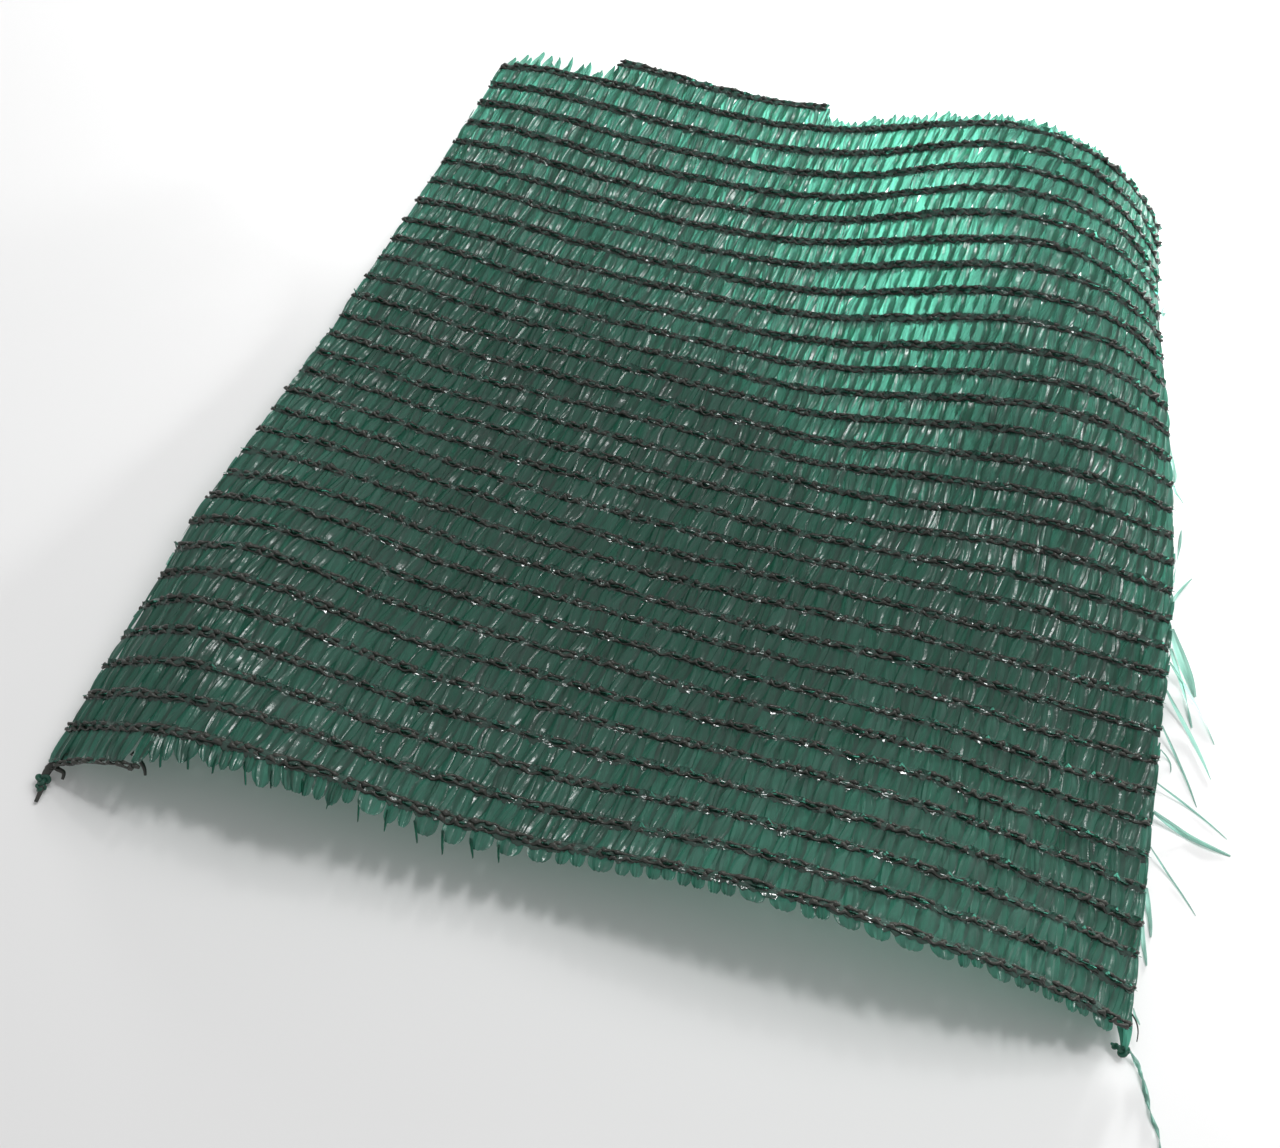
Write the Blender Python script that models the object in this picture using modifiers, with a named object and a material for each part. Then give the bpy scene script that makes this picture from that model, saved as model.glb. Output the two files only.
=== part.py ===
"""A cut piece of green knitted privacy screen, lying in a loose curl.

The cloth is a warp knit: dark chain rows run left to right, flat green tape zigzags between them,
and every edge is hand cut. Run with: blender --background --python part.py
Metres, +Z up. X runs along the chain rows, Y from the near edge to the far edge.
"""

import bpy
import bmesh
import numpy as np

MM = 0.001

# Knit: one stitch along a chain row, and one row of tape from chain to chain (nine rows to the inch)
STITCH = 2.25 * MM
ROW = 25.4 / 9 * MM

# Uncut frame that the drape is drawn on, in stitches from its left side and in rows from the first
# chain that runs the full width. The cut piece lies inside it.
FRAME_STITCHES = 40
FIRST_ROW = -1.5
LAST_ROW = 32.0

# Cloth thickness over the tape and over a chain, and the gap between a fringe and the cloth
TAPE_THICK = 1.0 * MM
CHAIN_THICK = 1.4 * MM
FRINGE_THICK = 0.5 * MM
PARTING = 0.3 * MM

# Height of the underside in mm, a line for each section from the near edge to the far one:
# the row it is at, then the height at each of the stitches in ACROSS. Zero lies on the surface.
ACROSS = (0, 4, 10, 17, 23, 29.5, 35, 40)
SECTIONS = (
    (-1.0, (0.0, 4.5, 6.5, 5.0, 7.0, 7.5, 5.5, 0.5)),
    (5.5, (0.5, 5.0, 3.5, 2.5, 2.5, 3.0, 1.5, 0.0)),
    (12.0, (1.5, 2.0, 1.0, 0.0, 0.0, 1.0, 1.5, 0.5)),
    (19.0, (0.0, 1.0, 0.0, 0.0, 0.5, 4.5, 6.0, 1.0)),
    (25.5, (0.0, 3.0, 3.0, 2.5, 5.0, 10.5, 9.0, 1.0)),
    (32.0, (0.0, 5.5, 8.0, 7.5, 10.0, 13.5, 8.5, 0.0)),
)

# Where the scissors went: row, stitch of the left edge, stitch of the right edge
SIDE_CUTS = (
    (-1.0, 0.6, 38.9),
    (6.0, 1.5, 39.0),
    (12.5, 2.2, 39.1),
    (18.5, 2.7, 38.9),
    (25.0, 3.6, 38.7),
    (31.0, 4.7, 38.6),
)

# A steep stretch of the cloth still moves on by this share of its length
LEAST_ADVANCE = 0.15

# The first chain is whole only left of NEAR_STEP, and the last one only between the FAR_STEPS.
# The cloth reaches EDGE_MARGIN of a row past its outer chains.
NEAR_STEP = 5.0
FAR_STEPS = (10.0, 20.5)
FULL_NEAR_ROW = 0
FULL_FAR_ROW = 30
EDGE_MARGIN = 0.12

# Seen from above: the piece is drawn in a little towards its far side, and its rows bow
WAIST = 0.007
LEAN = -0.003
ROW_BOW = 0.016
STILL_STITCH = 0.45
STILL_ROW = 0.35

# Moves the middle of the finished piece over the origin
PLAN_SHIFT = (-7.5 * MM, -10.6 * MM)

# Fringes: the stitches of the first and last tuft and from tuft to tuft, the backing strip's width
# in rows, the shortest and longest reach past it in rows, a tuft's width and its lean in stitches.
# A near loop is free tape of one stitch. Left of TORN_STITCH the loops are torn.
NEAR_LOOPS = dict(
    first=NEAR_STEP + 1.3, last=38.6, pitch=1.0,
    strip=0.18, reach=(0.57, 0.67), width=0.66, lean=0.1,
)
TORN_STITCH = 8.5
TORN_REACH = (0.3, 0.6)
TORN_LEAN = 0.45
FAR_LEFT = dict(
    first=5.3, last=FAR_STEPS[0] - 1.0, pitch=0.8,
    strip=0.2, reach=(0.35, 0.6), width=0.42, lean=0.2,
)
FAR_RIGHT = dict(
    first=FAR_STEPS[1] + 1.3, last=39.2, pitch=0.9,
    strip=0.3, reach=(0.2, 0.4), width=0.5, lean=0.2,
)

# Each tuft's width at its root, part of the way along and at its tip, as shares
TUFT_TAPER = (1.0, 1.0, 0.55)
TUFT_LINES = (0.0, 0.6, 1.0)

# A long fringe is this many pieces, so that each is nearly straight
FRINGE_PARTS = 3
CHANCE_SEED = 9

# Loose side ends: cross lines along each, root strip in stitches, the share of the length at which
# an end has turned square to its run, and the share at which it has come down to the surface
END_LINES = 6
END_STRIP = 0.25
END_SQUARE = 1 / 3
END_DOWN = 0.625

# Grid of the cloth solid, and the finer grid that its drape is worked out on
CLOTH_COLUMNS = 30
DRAPE_COLUMNS = 201
DRAPE_ROWS = 207

# Loose ends of the cut right edge: the row each leaves from, how far it reaches out and towards the
# far side, how much it bows sideways, and its width, all but the row in mm
RIGHT_ENDS = (
    (-0.55, 3.2, -7.4, 0.4, 0.9),
    (0.5, 1.0, -0.7, 0.0, 0.4),
    (3.1, 0.9, -2.9, 0.1, 0.5),
    (4.1, 0.9, -3.5, 0.2, 0.6),
    (5.3, 4.1, -4.4, 0.3, 0.35),
    (6.4, 6.5, -1.7, -0.3, 1.1),
    (7.3, 6.1, -3.0, 0.4, 0.4),
    (8.4, 1.2, -1.5, 0.4, 0.4),
    (9.2, 3.5, -6.3, 0.5, 0.4),
    (10.5, 4.4, -6.9, 0.5, 0.45),
    (11.5, 4.5, -6.3, 0.7, 0.6),
    (12.6, 2.8, -5.6, 0.6, 1.2),
    (13.6, 2.0, 4.4, 0.2, 0.4),
    (14.3, 0.9, 7.6, -0.2, 0.5),
    (18.7, 2.0, -2.1, 0.2, 0.35),
    (19.6, 1.4, -2.6, 0.5, 0.7),
)

# Frayed tip at the near left corner: the same columns, with the row as a row of the left edge
LEFT_ENDS = (
    (-0.95, -0.8, -2.7, 0.1, 0.6),
    (-0.62, -1.2, -1.9, -0.1, 0.4),
)


def spline(knots, values, at):
    """Natural cubic spline through values at the knots, read at the places in at."""
    knots, values, at = (np.asarray(a, float) for a in (knots, values, at))
    count, step = len(knots), np.diff(knots)
    system, bend = np.eye(count), np.zeros_like(values)
    for i in range(1, count - 1):
        system[i, i - 1:i + 2] = step[i - 1], 2 * (step[i - 1] + step[i]), step[i]
        bend[i] = 6 * ((values[i + 1] - values[i]) / step[i] - (values[i] - values[i - 1]) / step[i - 1])
    bend = np.linalg.solve(system, bend)
    i = np.clip(np.searchsorted(knots, at) - 1, 0, count - 2)
    column = (-1,) + (1,) * (values.ndim - 1)
    width = step[i].reshape(column)
    after = ((at - knots[i]) / step[i]).reshape(column)
    before = 1 - after
    curve = (before ** 3 - before) * bend[i] + (after ** 3 - after) * bend[i + 1]
    return before * values[i] + after * values[i + 1] + curve * width ** 2 / 6


def advance(step, rise):
    """Plan length that is left of each cloth length after its rise, added up from zero."""
    flat = np.sqrt(np.maximum(step ** 2 - rise ** 2, (LEAST_ADVANCE * step) ** 2))
    return np.concatenate([np.zeros_like(flat[:1]), np.cumsum(flat, axis=0)])


def drape():
    """Underside of the whole frame as an array of points, rows by stitches.

    The heights come from the two tables. The cloth keeps its length, so a step along it moves on in
    plan by what the rise leaves over, counted from a row and a stitch that stay still.
    """
    stitches = np.linspace(0, FRAME_STITCHES, DRAPE_COLUMNS)
    rows = np.linspace(FIRST_ROW, LAST_ROW, DRAPE_ROWS)
    across = stitches / FRAME_STITCHES - STILL_STITCH
    along = (rows - FIRST_ROW) / (LAST_ROW - FIRST_ROW) - STILL_ROW
    heights = spline([row for row, _ in SECTIONS], [line for _, line in SECTIONS], rows)
    z = np.maximum(spline(ACROSS, heights.T, stitches).T, 0) * MM
    x = advance((stitches[1] - stitches[0]) * STITCH, np.diff(z.T, axis=0)).T
    y = advance((rows[1] - rows[0]) * ROW, np.diff(z, axis=0))
    still_column = np.argmin(abs(across))
    still_row = np.argmin(abs(along))
    x = x - x[:, still_column:still_column + 1]
    y = y - y[still_row:still_row + 1]
    length = (LAST_ROW - FIRST_ROW) * ROW
    x = x + (WAIST * along ** 2 + LEAN * along)[:, None] * length
    y = y + ROW_BOW * across ** 2 * FRAME_STITCHES * STITCH
    return np.stack([x + PLAN_SHIFT[0], y + PLAN_SHIFT[1], z], axis=-1)


DRAPE = drape()


def on_cloth(stitches, rows):
    """Points of the underside at these stitches and rows, straight between the drape's points."""
    u = np.clip(np.asarray(stitches, float) / FRAME_STITCHES, 0, 1) * (DRAPE_COLUMNS - 1)
    v = (np.asarray(rows, float) - FIRST_ROW) / (LAST_ROW - FIRST_ROW)
    v = np.clip(v, 0, 1) * (DRAPE_ROWS - 1)
    i = np.minimum(u.astype(int), DRAPE_COLUMNS - 2)
    j = np.minimum(v.astype(int), DRAPE_ROWS - 2)
    a, b = (u - i)[..., None], (v - j)[..., None]
    near = DRAPE[j, i] * (1 - a) + DRAPE[j, i + 1] * a
    far = DRAPE[j + 1, i] * (1 - a) + DRAPE[j + 1, i + 1] * a
    return near * (1 - b) + far * b


def side_cut(rows, side):
    """Stitch at which the left (1) or right (2) edge is cut, at these rows."""
    cut = spline([line[0] for line in SIDE_CUTS], [line[side] for line in SIDE_CUTS], np.ravel(rows))
    return cut.reshape(np.shape(rows))


def principled(name, colour, roughness):
    """Plain material with one colour and roughness."""
    material = bpy.data.materials.new(name)
    material.use_nodes = True
    shader = material.node_tree.nodes["Principled BSDF"]
    shader.inputs["Base Color"].default_value = (*colour, 1)
    shader.inputs["Roughness"].default_value = roughness
    shader.inputs["Metallic"].default_value = 0
    return material


def sheet_from_grid(name, points, keep, thickness, material, weights=None):
    """Closed sheet that grows upwards from a grid of underside points.

    points is rows by columns, keep says which of the grid's squares are cloth, and weights gives
    each point's share of the thickness.
    """
    rows, columns = points.shape[:2]
    bpy.ops.mesh.primitive_grid_add(x_subdivisions=columns - 1, y_subdivisions=rows - 1)
    sheet = bpy.context.object
    sheet.name = sheet.data.name = name
    sheet.data.vertices.foreach_set("co", points.reshape(-1))
    if weights is not None:
        group = sheet.vertex_groups.new(name="thickness")
        for share in np.unique(weights):
            group.add(np.flatnonzero(weights.reshape(-1) == share).tolist(), float(share), "REPLACE")
    mesh = bmesh.new()
    mesh.from_mesh(sheet.data)
    mesh.normal_update()
    if sum(face.normal.z for face in mesh.faces) < 0:
        bmesh.ops.reverse_faces(mesh, faces=mesh.faces)
    mesh.faces.ensure_lookup_table()
    gaps = [face for face, kept in zip(mesh.faces, keep.reshape(-1)) if not kept]
    bmesh.ops.delete(mesh, geom=gaps, context="FACES")
    mesh.to_mesh(sheet.data)
    mesh.free()
    sheet.data.materials.append(material)
    solidify = sheet.modifiers.new("thickness", "SOLIDIFY")
    solidify.thickness = thickness
    solidify.offset = 1
    solidify.vertex_group = "thickness" if weights is not None else ""
    return sheet


def knitted_cloth(material):
    """The net itself: one sheet in its folds, with a rib for every chain row.

    A line of points runs along each chain and one between each pair of chains. Past the full rows
    only the squares inside the stepped cut are kept.
    """
    first, last = FULL_NEAR_ROW - 1, FULL_FAR_ROW + 1
    rows = np.arange(2 * first, 2 * last + 1) / 2
    rows = np.concatenate([[first - EDGE_MARGIN], rows, [last + EDGE_MARGIN]])
    rows = np.sort(np.concatenate([rows, [FULL_NEAR_ROW - EDGE_MARGIN, FULL_FAR_ROW + EDGE_MARGIN]]))
    spread = np.linspace(0, 1, CLOTH_COLUMNS + 1)
    left, right = side_cut(rows, 1)[:, None], side_cut(rows, 2)[:, None]
    stitches = left + (right - left) * spread
    middle = (stitches[:-1, 1:] + stitches[1:, :-1]) / 2
    between = ((rows[:-1] + rows[1:]) / 2)[:, None]
    near_gap = (between < FULL_NEAR_ROW - EDGE_MARGIN) & (middle > NEAR_STEP)
    in_far_steps = (middle > FAR_STEPS[0]) & (middle < FAR_STEPS[1])
    far_gap = (between > FULL_FAR_ROW + EDGE_MARGIN) & ~in_far_steps
    on_chain = np.isclose(rows, np.round(rows))
    weights = np.where(on_chain, 1.0, TAPE_THICK / CHAIN_THICK)[:, None] + 0 * stitches
    points = on_cloth(stitches, rows[:, None] + 0 * stitches)
    return sheet_from_grid("knitted_net", points, ~(near_gap | far_gap), CHAIN_THICK, material, weights)


def comb(name, backing, strands, material):
    """A fringe: a narrow backing strip with strands that grow out of its outer side.

    backing is a line of inner points. strands is strand by cross line by its left and right point,
    from the backing outwards, and the backing's outer side runs through the strands' roots.
    """
    count, lines = strands.shape[:2]
    points = np.concatenate([backing[None], strands.transpose(1, 0, 2, 3).reshape(lines, 2 * count, 3)])
    keep = np.ones((lines, 2 * count - 1), bool)
    keep[1:, 1::2] = False
    return sheet_from_grid(name, points, keep, FRINGE_THICK, material)


def edge_tufts(name, fringe, stitches, reach, lean, side, material):
    """Fringe along a near (side -1) or far (side 1) edge, of tufts in the cloth's own surface.

    fringe gives the strip and the tufts' width. reach, in rows, and lean, in stitches, have one
    value for each tuft.
    """
    gap = EDGE_MARGIN + PARTING / ROW
    root_row = (FULL_FAR_ROW if side > 0 else FULL_NEAR_ROW) + side * gap
    pair = np.array([-0.5, 0.5]) * fringe["width"]
    taper, share = np.array(TUFT_TAPER), np.array(TUFT_LINES)
    roots = stitches[:, None] + pair
    across = stitches[:, None, None] + pair * taper[:, None] + (lean[:, None] * share)[..., None]
    out = fringe["strip"] + (reach[:, None] * share)[..., None]
    along = root_row + side * out + 0 * across
    backing = on_cloth(roots.reshape(-1), np.full(roots.size, root_row))
    return comb(name, backing, on_cloth(across, along), material)


def fringe_parts(name, fringe, parts, side, chance, material):
    """A fringe along an edge in this many pieces, with the torn loops shorter and leaning more."""
    stitches = np.arange(fringe["first"], fringe["last"], fringe["pitch"])
    reach = chance.uniform(*fringe["reach"], stitches.size)
    lean = np.full(stitches.size, fringe["lean"])
    if side < 0:
        torn = stitches < TORN_STITCH
        reach[torn] = chance.uniform(*TORN_REACH, torn.sum())
        lean[torn] = TORN_LEAN
    pieces = []
    for number, part in enumerate(np.array_split(np.arange(stitches.size), parts), start=1):
        label = name if parts == 1 else f"{name}_{number}"
        pieces.append(edge_tufts(label, fringe, stitches[part], reach[part], lean[part], side, material))
    return pieces


def side_ends(name, table, side, material):
    """Loose ends that leave the cut left or right edge and come to lie on the surface.

    Each runs from its root to its tip, bowed sideways by a half sine wave, while its height falls
    to nothing over the first part of its length.
    """
    rows, out, forward, bow, width = (np.array(column) for column in zip(*table))
    outward = 1 if side == 2 else -1
    share = np.linspace(0, 1, END_LINES)
    rows_of_pair = rows[:, None] + np.array([-0.5, 0.5]) * (width * MM / ROW)[:, None]
    cut = side_cut(rows_of_pair, side)
    parted = outward * PARTING / STITCH
    inner = on_cloth(cut + parted, rows_of_pair).reshape(-1, 3)
    outer = on_cloth(cut + parted + outward * END_STRIP, rows_of_pair)
    run = np.stack([out, forward], axis=-1) * MM
    across_run = np.stack([-run[:, 1], run[:, 0]], axis=-1) / np.linalg.norm(run, axis=1)[:, None]
    arc = np.sin(np.pi * share)[None, :, None] * (bow * MM)[:, None, None] * across_run[:, None]
    path = run[:, None] * share[None, :, None] + arc
    strands = np.repeat(outer[:, None], END_LINES, axis=1)
    strands[..., :2] += path[:, :, None]
    turn = outer[:, 1, :2] - outer[:, 0, :2]
    square = across_run * (width * MM)[:, None]
    square *= np.sign((square * turn).sum(axis=1))[:, None]
    blend = np.clip(share / END_SQUARE, 0, 1)[None, :, None]
    half = (turn[:, None] * (1 - blend) + square[:, None] * blend) / 2
    centre = strands.mean(axis=2)
    strands[:, :, 0, :2] = centre[..., :2] - half
    strands[:, :, 1, :2] = centre[..., :2] + half
    strands[..., 2] *= (np.clip(1 - share / END_DOWN, 0, 1) ** 2)[None, :, None]
    return comb(name, inner, strands, material)


def build():
    """All the pieces, in a collection of their own."""
    for old in list(bpy.data.objects):
        bpy.data.objects.remove(old, do_unlink=True)
    chance = np.random.default_rng(CHANCE_SEED)
    tape = principled("green_tape", (0.020, 0.110, 0.075), 0.35)
    loose = principled("loose_green_tape", (0.060, 0.300, 0.200), 0.30)

    pieces = [knitted_cloth(tape)]
    pieces += fringe_parts("near_loops", NEAR_LOOPS, FRINGE_PARTS, -1, chance, tape)
    pieces += fringe_parts("far_left_tufts", FAR_LEFT, 1, 1, chance, tape)
    pieces += fringe_parts("far_right_tufts", FAR_RIGHT, FRINGE_PARTS, 1, chance, tape)
    pieces.append(side_ends("right_cut_ends", RIGHT_ENDS, 2, loose))
    pieces.append(side_ends("left_tip_ends", LEFT_ENDS, 1, tape))

    collection = bpy.data.collections.new("knitted_privacy_screen")
    bpy.context.scene.collection.children.link(collection)
    for piece in pieces:
        for holder in list(piece.users_collection):
            holder.objects.unlink(piece)
        collection.objects.link(piece)


build()
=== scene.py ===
# %% [markdown]
# # A cut piece of knitted privacy screen
# The real thing is a warp-knitted net. Rows of thin dark filament are knitted into chains, and flat
# green tape is laid to and fro between each pair of chains, two legs to a stitch. Somebody cut a
# piece about as long as a finger from a roll, and it lies in a loose curl on pale paper.
#
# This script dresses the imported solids. Everything is placed by stitch and row on one curved
# surface, so the first cells set up the camera, the room and that surface, and the later ones lay
# the tape, the chains and the cut ends on it.

import bpy
import numpy as np
from mathutils import Matrix, Vector


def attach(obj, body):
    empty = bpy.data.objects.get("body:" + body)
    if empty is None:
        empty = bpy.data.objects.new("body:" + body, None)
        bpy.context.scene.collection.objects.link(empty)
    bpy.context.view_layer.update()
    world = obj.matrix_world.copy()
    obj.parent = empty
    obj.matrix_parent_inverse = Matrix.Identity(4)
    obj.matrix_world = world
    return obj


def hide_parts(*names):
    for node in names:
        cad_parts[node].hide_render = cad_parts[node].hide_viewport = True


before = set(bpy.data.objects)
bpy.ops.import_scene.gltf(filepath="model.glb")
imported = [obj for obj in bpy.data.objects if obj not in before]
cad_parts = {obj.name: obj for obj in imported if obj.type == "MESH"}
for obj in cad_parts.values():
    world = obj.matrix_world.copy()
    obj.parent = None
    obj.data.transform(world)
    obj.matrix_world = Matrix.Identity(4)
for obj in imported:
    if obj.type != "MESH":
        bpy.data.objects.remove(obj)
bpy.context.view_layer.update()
MM = 0.001

# %% [markdown]
# ## Camera
# The photo was taken from close by, a hand's length above the near edge. A pinhole camera is a place,
# a direction and a focal length. Here the direction is three angles, worked out from how the rows and
# the outline run together in the photo, and the place follows from the point that the camera looks
# at. Building the turned axes by hand keeps the roll easy to read.

# %% Camera
IMAGE_WIDTH = 1280
FOCAL_PIXELS = 1400
SENSOR_WIDTH = 36
LOOK_DOWN, ROLL, TURN = np.radians([56.1, 5.7, -10.9])
AIM = np.array([-6.0, -11.8, 1.1]) * MM
DISTANCE = 122.4 * MM
CLIP_START = 5 * MM


def camera_axes(turn, down, roll):
    """Right, up and backward axes: turn about Z, tip down, then roll about the view direction."""
    forward = np.array([np.sin(turn) * np.cos(down), np.cos(turn) * np.cos(down), -np.sin(down)])
    level_right = np.array([np.cos(turn), -np.sin(turn), 0])
    level_up = np.cross(level_right, forward)
    right = level_right * np.cos(roll) + level_up * np.sin(roll)
    up = -level_right * np.sin(roll) + level_up * np.cos(roll)
    return right, up, -forward


def make_camera():
    right, up, back = camera_axes(TURN, LOOK_DOWN, ROLL)
    data = bpy.data.cameras.new("camera")
    data.sensor_width = SENSOR_WIDTH
    data.lens = FOCAL_PIXELS / IMAGE_WIDTH * SENSOR_WIDTH
    data.clip_start = CLIP_START
    camera = bpy.data.objects.new("camera", data)
    axes = Matrix(np.stack([right, up, back], axis=1)).to_4x4()
    camera.matrix_world = Matrix.Translation(AIM + back * DISTANCE) @ axes
    bpy.context.scene.collection.objects.link(camera)
    bpy.context.scene.camera = camera
    return camera


camera = make_camera()
camera_place = [round(x, 3) for x in camera.matrix_world.translation]
print("camera at", camera_place, "with a lens of", round(camera.data.lens, 2), "mm")

# %% [markdown]
# ## Shader maths
# A finish is a web of small nodes. Written as node calls, even a sum takes three lines, so a wrapper
# turns each socket into something that Python can add and multiply. `Finish.node` makes any other
# node: its settings go in first, since they decide which sockets it has.

# %% Shader helpers


class Socket:
    """A node's output. Sums, products and powers of it add Math nodes."""

    def __init__(self, finish, output):
        self.finish, self.output = finish, output

    def math(self, operation, other=0.0, swap=False):
        pair = (other, self) if swap else (self, other)
        return self.finish.node("ShaderNodeMath", {"operation": operation}, {0: pair[0], 1: pair[1]})

    def __add__(self, other):
        return self.math("ADD", other)

    def __sub__(self, other):
        return self.math("SUBTRACT", other)

    def __rsub__(self, other):
        return self.math("SUBTRACT", other, swap=True)

    def __mul__(self, other):
        return self.math("MULTIPLY", other)

    def __pow__(self, other):
        return self.math("POWER", other)

    __radd__ = __add__
    __rmul__ = __mul__


class Finish:
    """A material whose nodes are added one call at a time."""

    def __init__(self, name):
        self.material = bpy.data.materials.new(name)
        self.material.use_nodes = True
        self.tree = self.material.node_tree
        self.tree.nodes.clear()

    def node(self, kind, settings, sockets, output=0):
        """Adds a node: settings first, then socket values or links. Returns one of its outputs."""
        node = self.tree.nodes.new(kind)
        for name, value in settings.items():
            setattr(node, name, value)
        for name, value in sockets.items():
            if isinstance(value, Socket):
                self.tree.links.new(value.output, node.inputs[name])
            else:
                node.inputs[name].default_value = value
        return Socket(self, node.outputs[output] if node.outputs else None)

    def mix(self, share, first, second):
        """Colour between two colours."""
        pair = [c if isinstance(c, Socket) else (*c, 1) for c in (first, second)]
        return self.node("ShaderNodeMix", {"data_type": "RGBA"}, {0: share, 6: pair[0], 7: pair[1]}, 2)

    def noise(self, place, size, detail=2.0):
        """Noise from 0 to 1 whose lumps are about this size, in the units of place."""
        sockets = {"Vector": place, "Scale": 1 / size, "Detail": detail}
        return self.node("ShaderNodeTexNoise", {}, sockets)

    def show(self, surface):
        self.node("ShaderNodeOutputMaterial", {}, {"Surface": surface})
        return self.material


print("shader helpers ready")

# %% [markdown]
# ## Paper and light
# The cloth lies on plain paper. The shadow falls almost straight down and the paper fades towards the
# camera, so the main lamp hangs nearly overhead, a little to the right and behind, and it is wide,
# for a soft shadow. A lamp to the left keeps the paper bright there. A third stands low behind the
# cloth and shines in under its raised far edge, so that the far rows glow from within. Glossy film
# mirrors only the other three, which are far and small: their glints sit where the cloth slopes the
# right way, so three places for a lamp give three fields of glints. The room is an even pale
# background, which the film mirrors as a grey veil.

# %% Paper and lights
PAPER_HALF = 1.5
PAPER_COLOUR = (0.77, 0.77, 0.77)
PAPER_ROUGHNESS, PAPER_SHINE = 0.85, 0.2
TOOTH_SIZE, TOOTH_DETAIL = 0.5 * MM, 4
TOOTH_STRENGTH, TOOTH_HEIGHT = 0.06, 0.05 * MM
ROOM_STRENGTH = 0.46
LAMPS = {  # place in metres, width, watts, and whether glossy pieces mirror it
    "overhead_lamp": ((0.105, 0.085, 0.200), 0.170, 0.28, False),
    "left_lamp": ((-0.170, 0.145, 0.050), 0.060, 0.10, False),
    "low_lamp": ((0.065, 0.122, 0.016), 0.028, 0.74, False),
    "glint_lamp_right": ((0.180, 0.165, 0.550), 0.085, 0.66, True),
    "glint_lamp_left": ((-0.050, 0.200, 0.560), 0.055, 0.24, True),
    "glint_lamp_back": ((0.040, 0.360, 0.480), 0.055, 0.24, True),
}


def paper_finish():
    finish = Finish("paper")
    place = finish.node("ShaderNodeTexCoord", {}, {}, "Object")
    tooth = finish.noise(place, TOOTH_SIZE, TOOTH_DETAIL)
    relief = {"Height": tooth, "Strength": TOOTH_STRENGTH, "Distance": TOOTH_HEIGHT}
    sockets = {
        "Base Color": (*PAPER_COLOUR, 1),
        "Roughness": PAPER_ROUGHNESS,
        "Specular IOR Level": PAPER_SHINE,
        "Normal": finish.node("ShaderNodeBump", {}, relief),
    }
    return finish.show(finish.node("ShaderNodeBsdfPrincipled", {}, sockets))


def make_paper():
    corners = np.array([(-1, -1, 0), (1, -1, 0), (1, 1, 0), (-1, 1, 0)]) * PAPER_HALF
    mesh = bpy.data.meshes.new("paper")
    mesh.from_pydata(corners.tolist(), [], [(0, 1, 2, 3)])
    mesh.materials.append(paper_finish())
    paper = bpy.data.objects.new("paper", mesh)
    bpy.context.scene.collection.objects.link(paper)
    return paper


def make_lamp(name, place, size, watts, mirrored):
    """A disc of light that looks at the origin."""
    data = bpy.data.lights.new(name, "AREA")
    data.shape = "DISK"
    data.size = size
    data.energy = watts
    lamp = bpy.data.objects.new(name, data)
    lamp.location = place
    lamp.rotation_euler = Vector(place).to_track_quat("Z", "Y").to_euler()
    lamp.visible_camera = False
    lamp.visible_glossy = mirrored
    bpy.context.scene.collection.objects.link(lamp)
    return lamp


def light_room():
    world = bpy.data.worlds.new("room")
    world.use_nodes = True
    background = world.node_tree.nodes["Background"]
    background.inputs["Color"].default_value = (1, 1, 1, 1)
    background.inputs["Strength"].default_value = ROOM_STRENGTH
    bpy.context.scene.world = world
    bpy.context.scene.view_settings.view_transform = "Standard"


paper = make_paper()
lamps = [make_lamp(name, *facts) for name, facts in LAMPS.items()]
light_room()
print("paper", PAPER_HALF * 2, "m wide, lamps:", [lamp.name for lamp in lamps])

# %% [markdown]
# ## The surface that the cloth lies in
# The cloth has one height over each place, so its folds are a height table: six sections from the
# near edge to the far one, each read at eight stitches. A natural cubic spline runs smoothly through
# them, as a bent batten would. Cloth keeps its length, so where it climbs it covers less ground: the
# plan places are added up from what each climbing step leaves over. The same sums make the solids, so
# the two agree, and every later piece asks this surface for its points.

# %% Folds of the cloth
STITCH = 2.25 * MM
ROW = 25.4 / 9 * MM
FRAME_STITCHES = 40
FIRST_ROW, LAST_ROW = -1.5, 32.0
ACROSS = (0, 4, 10, 17, 23, 29.5, 35, 40)
SECTIONS = (  # row, then underside heights in mm at the stitches in ACROSS
    (-1.0, (0.0, 4.5, 6.5, 5.0, 7.0, 7.5, 5.5, 0.5)),
    (5.5, (0.5, 5.0, 3.5, 2.5, 2.5, 3.0, 1.5, 0.0)),
    (12.0, (1.5, 2.0, 1.0, 0.0, 0.0, 1.0, 1.5, 0.5)),
    (19.0, (0.0, 1.0, 0.0, 0.0, 0.5, 4.5, 6.0, 1.0)),
    (25.5, (0.0, 3.0, 3.0, 2.5, 5.0, 10.5, 9.0, 1.0)),
    (32.0, (0.0, 5.5, 8.0, 7.5, 10.0, 13.5, 8.5, 0.0)),
)
STILL_STITCH, STILL_ROW = 0.45, 0.35
WAIST, LEAN, ROW_BOW = 0.007, -0.003, 0.016
LEAST_ADVANCE = 0.15
PLAN_SHIFT = np.array([-7.5, -10.6]) * MM
DRAPE_COLUMNS, DRAPE_ROWS = 201, 207
LAST_CELL = 1.001  # from the number of points to just inside the last cell


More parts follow.
